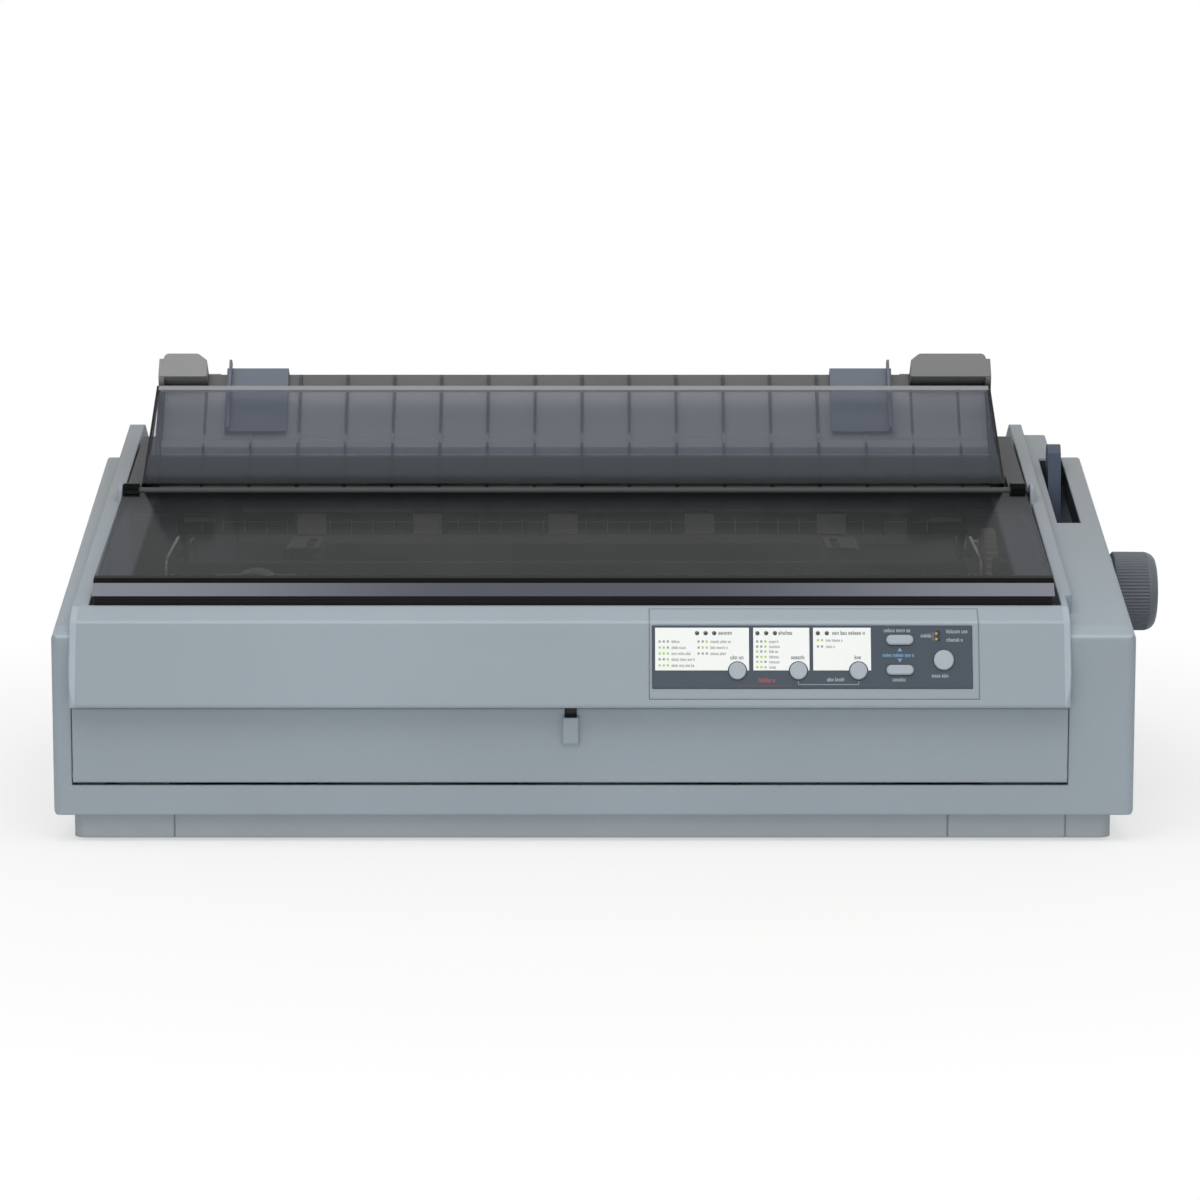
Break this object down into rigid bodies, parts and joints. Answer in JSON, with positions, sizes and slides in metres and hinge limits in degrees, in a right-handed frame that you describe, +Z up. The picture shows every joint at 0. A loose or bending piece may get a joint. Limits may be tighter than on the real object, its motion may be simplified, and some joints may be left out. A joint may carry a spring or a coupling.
{
  "type": "dot matrix printer",
  "caption": "Wide-carriage dot matrix printer with hinged smoked covers, tilting paper guide, platen and knob, sliding print carriage, tractors, control panel and drop-down front cover.",
  "frame": {"origin": "middle of the printer's outer box, on the floor under its feet", "axes": "+X to the printer's right (the knob's side), +Y to the rear, +Z up"},
  "size_m": [0.639, 0.402, 0.2574],
  "materials": {
    "case_plastic": "fine moulded texture",
    "case_lower": "fine moulded texture",
    "rubber": "matte",
    "bezel": "satin",
    "label": "satin print",
    "circuit_board": "satin",
    "dark_plastic": "satin",
    "sheet_steel": "zinc plated",
    "bush_plastic": "smooth",
    "motor_case": "satin",
    "ground_steel": "ground",
    "cartridge_plastic": "satin",
    "port_metal": "plated",
    "smoked_cover": "glossy smoked",
    "guide_plastic": "satin",
    "blue_plastic": "satin",
    "platen_rubber": "ground",
    "gear_plastic": "smooth",
    "knob_plastic": "ribbed satin",
    "roller_plastic": "smooth",
    "head_metal": "cast",
    "button_plastic": "satin"
  },
  "bodies": {
    "casing": {"lower_case": "case_lower", "rubber_feet": "rubber", "upper_case": "case_plastic", "panel_insert": "case_plastic", "panel_bezel": "bezel", "panel_labels": "label", "panel_board": "circuit_board", "hinge_rod": "dark_plastic", "base_frame": "sheet_steel", "side_frame_left": "sheet_steel", "side_frame_right": "sheet_steel", "platen_bushes": "bush_plastic", "feed_motor": "motor_case", "carriage_motor": "motor_case", "guide_shafts": "ground_steel", "front_rail": "sheet_steel", "drive_belt": "rubber", "front_ramp": "dark_plastic", "rear_ramp": "dark_plastic", "ribbon_cartridge": "cartridge_plastic", "main_board": "circuit_board", "power_supply": "sheet_steel", "power_inlet": "dark_plastic", "interface_ports": "port_metal", "interface_cover": "case_plastic", "case_screws": "ground_steel"},
    "front_cover": {"front_cover": "case_plastic"},
    "printer_cover": {"printer_cover": "smoked_cover"},
    "paper_guide": {"paper_guide": "guide_plastic", "guide_ends": "guide_plastic"},
    "guide_cover": {"guide_cover": "smoked_cover"},
    "edge_guide_left": {"edge_guide_left": "blue_plastic"},
    "edge_guide_right": {"edge_guide_right": "blue_plastic"},
    "platen": {"platen_roller": "platen_rubber", "platen_shaft": "ground_steel", "platen_gear": "gear_plastic", "platen_knob": "knob_plastic"},
    "feed_pinion": {"feed_pinion": "gear_plastic"},
    "idler_gear": {"idler_gear": "gear_plastic"},
    "tractor_drive": {"tractor_shaft": "ground_steel"},
    "tractor_left": {"tractor_left": "dark_plastic"},
    "tractor_right": {"tractor_right": "dark_plastic"},
    "tractor_left_door": {"tractor_left_door": "dark_plastic"},
    "tractor_right_door": {"tractor_right_door": "dark_plastic"},
    "tension_unit": {"tension_bar": "dark_plastic"},
    "tension_rollers": {"tension_rollers": "roller_plastic"},
    "carriage": {"carriage": "dark_plastic", "print_head": "head_metal"},
    "drive_pulley": {"drive_pulley": "gear_plastic"},
    "idler_pulley": {"idler_pulley": "gear_plastic"},
    "release_lever": {"release_lever": "blue_plastic"},
    "thickness_lever": {"thickness_lever": "knob_plastic"},
    "power_switch": {"power_switch": "knob_plastic"},
    "ribbon_knob": {"ribbon_knob": "knob_plastic"},
    "font_button": {"font_button": "button_plastic"},
    "pitch_button": {"pitch_button": "button_plastic"},
    "tear_off_button": {"tear_off_button": "button_plastic"},
    "load_button": {"load_button": "button_plastic"},
    "feed_button": {"feed_button": "button_plastic"},
    "pause_button": {"pause_button": "button_plastic"}
  },
  "joints": [
    {"name": "printer_cover_hinge", "type": "hinge", "parent": "casing", "child": "printer_cover", "pos_m": [0, -0.01, 0.1795], "axis": [-1, 0, 0], "range_deg": [0, 95]},
    {"name": "paper_guide_tilt", "type": "hinge", "parent": "casing", "child": "paper_guide", "pos_m": [0, 0.088, 0.192], "axis": [-1, 0, 0], "range_deg": [0, 95]},
    {"name": "guide_cover_hinge", "type": "hinge", "parent": "paper_guide", "child": "guide_cover", "pos_m": [0, 0.00547, 0.18136], "axis": [1, 0, 0], "range_deg": [0, 25]},
    {"name": "front_cover_hinge", "type": "hinge", "parent": "casing", "child": "front_cover", "pos_m": [0, -0.1854, 0.0385], "axis": [1, 0, 0], "range_deg": [0, 90]},
    {"name": "edge_guide_left_slide", "type": "slide", "parent": "paper_guide", "child": "edge_guide_left", "axis": [1, 0, 0], "range_m": [-0.01, 0.17]},
    {"name": "edge_guide_right_slide", "type": "slide", "parent": "paper_guide", "child": "edge_guide_right", "axis": [1, 0, 0], "range_m": [-0.13, 0.01]},
    {"name": "platen_spin", "type": "hinge", "parent": "casing", "child": "platen", "pos_m": [0, -0.043, 0.1234], "axis": [1, 0, 0], "continuous": true},
    {"name": "feed_pinion_spin", "type": "hinge", "parent": "casing", "child": "feed_pinion", "pos_m": [0, -0.02383, 0.0823], "axis": [1, 0, 0], "continuous": true},
    {"name": "idler_gear_spin", "type": "hinge", "parent": "casing", "child": "idler_gear", "pos_m": [0, 0.01435, 0.1234], "axis": [1, 0, 0], "continuous": true},
    {"name": "tractor_drive_spin", "type": "hinge", "parent": "casing", "child": "tractor_drive", "pos_m": [0, 0.0537, 0.1234], "axis": [1, 0, 0], "continuous": true},
    {"name": "tractor_left_slide", "type": "slide", "parent": "casing", "child": "tractor_left", "axis": [1, 0, 0], "range_m": [-0.03, 0.15]},
    {"name": "tractor_right_slide", "type": "slide", "parent": "casing", "child": "tractor_right", "axis": [1, 0, 0], "range_m": [-0.15, 0.05]},
    {"name": "tractor_left_door_hinge", "type": "hinge", "parent": "tractor_left", "child": "tractor_left_door", "pos_m": [-0.203, 0, 0.1376], "axis": [0, -1, 0], "range_deg": [0, 100]},
    {"name": "tractor_right_door_hinge", "type": "hinge", "parent": "tractor_right", "child": "tractor_right_door", "pos_m": [0.148, 0, 0.1376], "axis": [0, 1, 0], "range_deg": [0, 100]},
    {"name": "tension_unit_hinge", "type": "hinge", "parent": "casing", "child": "tension_unit", "pos_m": [0, -0.002, 0.141], "axis": [1, 0, 0], "range_deg": [0, 18]},
    {"name": "tension_roller_spin", "type": "hinge", "parent": "tension_unit", "child": "tension_rollers", "pos_m": [0, -0.03, 0.1636], "axis": [1, 0, 0], "continuous": true},
    {"name": "carriage_slide", "type": "slide", "parent": "casing", "child": "carriage", "axis": [1, 0, 0], "range_m": [0, 0.372]},
    {"name": "drive_pulley_spin", "type": "hinge", "parent": "casing", "child": "drive_pulley", "pos_m": [-0.244, -0.12, 0.083], "axis": [0, 0, 1], "continuous": true},
    {"name": "idler_pulley_spin", "type": "hinge", "parent": "casing", "child": "idler_pulley", "pos_m": [0.19, -0.12, 0.083], "axis": [0, 0, 1], "continuous": true},
    {"name": "release_lever_hinge", "type": "hinge", "parent": "casing", "child": "release_lever", "pos_m": [0, 0.02, 0.062], "axis": [1, 0, 0], "range_deg": [0, 25]},
    {"name": "thickness_lever_hinge", "type": "hinge", "parent": "casing", "child": "thickness_lever", "pos_m": [0, -0.098, 0.098], "axis": [1, 0, 0], "range_deg": [-10, 10]},
    {"name": "power_switch_rock", "type": "hinge", "parent": "casing", "child": "power_switch", "pos_m": [0.196, 0.193, 0.042], "axis": [1, 0, 0], "range_deg": [0, 14]},
    {"name": "ribbon_knob_spin", "type": "hinge", "parent": "casing", "child": "ribbon_knob", "pos_m": [-0.236, -0.143, 0.127], "axis": [0, 0, 1], "continuous": true},
    {"name": "font_button_press", "type": "slide", "parent": "casing", "child": "font_button", "axis": [0, 0.9563, -0.2924], "range_m": [0, 0.0012], "stiffness_N_per_m": 300, "springref_m": -0.0005},
    {"name": "pitch_button_press", "type": "slide", "parent": "casing", "child": "pitch_button", "axis": [0, 0.9563, -0.2924], "range_m": [0, 0.0012], "stiffness_N_per_m": 300, "springref_m": -0.0005},
    {"name": "tear_off_button_press", "type": "slide", "parent": "casing", "child": "tear_off_button", "axis": [0, 0.9563, -0.2924], "range_m": [0, 0.0012], "stiffness_N_per_m": 300, "springref_m": -0.0005},
    {"name": "load_button_press", "type": "slide", "parent": "casing", "child": "load_button", "axis": [0, 0.9563, -0.2924], "range_m": [0, 0.0012], "stiffness_N_per_m": 300, "springref_m": -0.0005},
    {"name": "feed_button_press", "type": "slide", "parent": "casing", "child": "feed_button", "axis": [0, 0.9563, -0.2924], "range_m": [0, 0.0012], "stiffness_N_per_m": 300, "springref_m": -0.0005},
    {"name": "pause_button_press", "type": "slide", "parent": "casing", "child": "pause_button", "axis": [0, 0.9563, -0.2924], "range_m": [0, 0.0012], "stiffness_N_per_m": 300, "springref_m": -0.0005}
  ],
  "couplings": [
    {"joint": "feed_pinion_spin", "follows": "platen_spin", "ratio": -4},
    {"joint": "idler_gear_spin", "follows": "platen_spin", "ratio": -1.7143},
    {"joint": "tractor_drive_spin", "follows": "platen_spin", "ratio": 2},
    {"joint": "drive_pulley_spin", "follows": "carriage_slide", "rad_per_m": -117.65},
    {"joint": "idler_pulley_spin", "follows": "carriage_slide", "rad_per_m": -117.65}
  ]
}
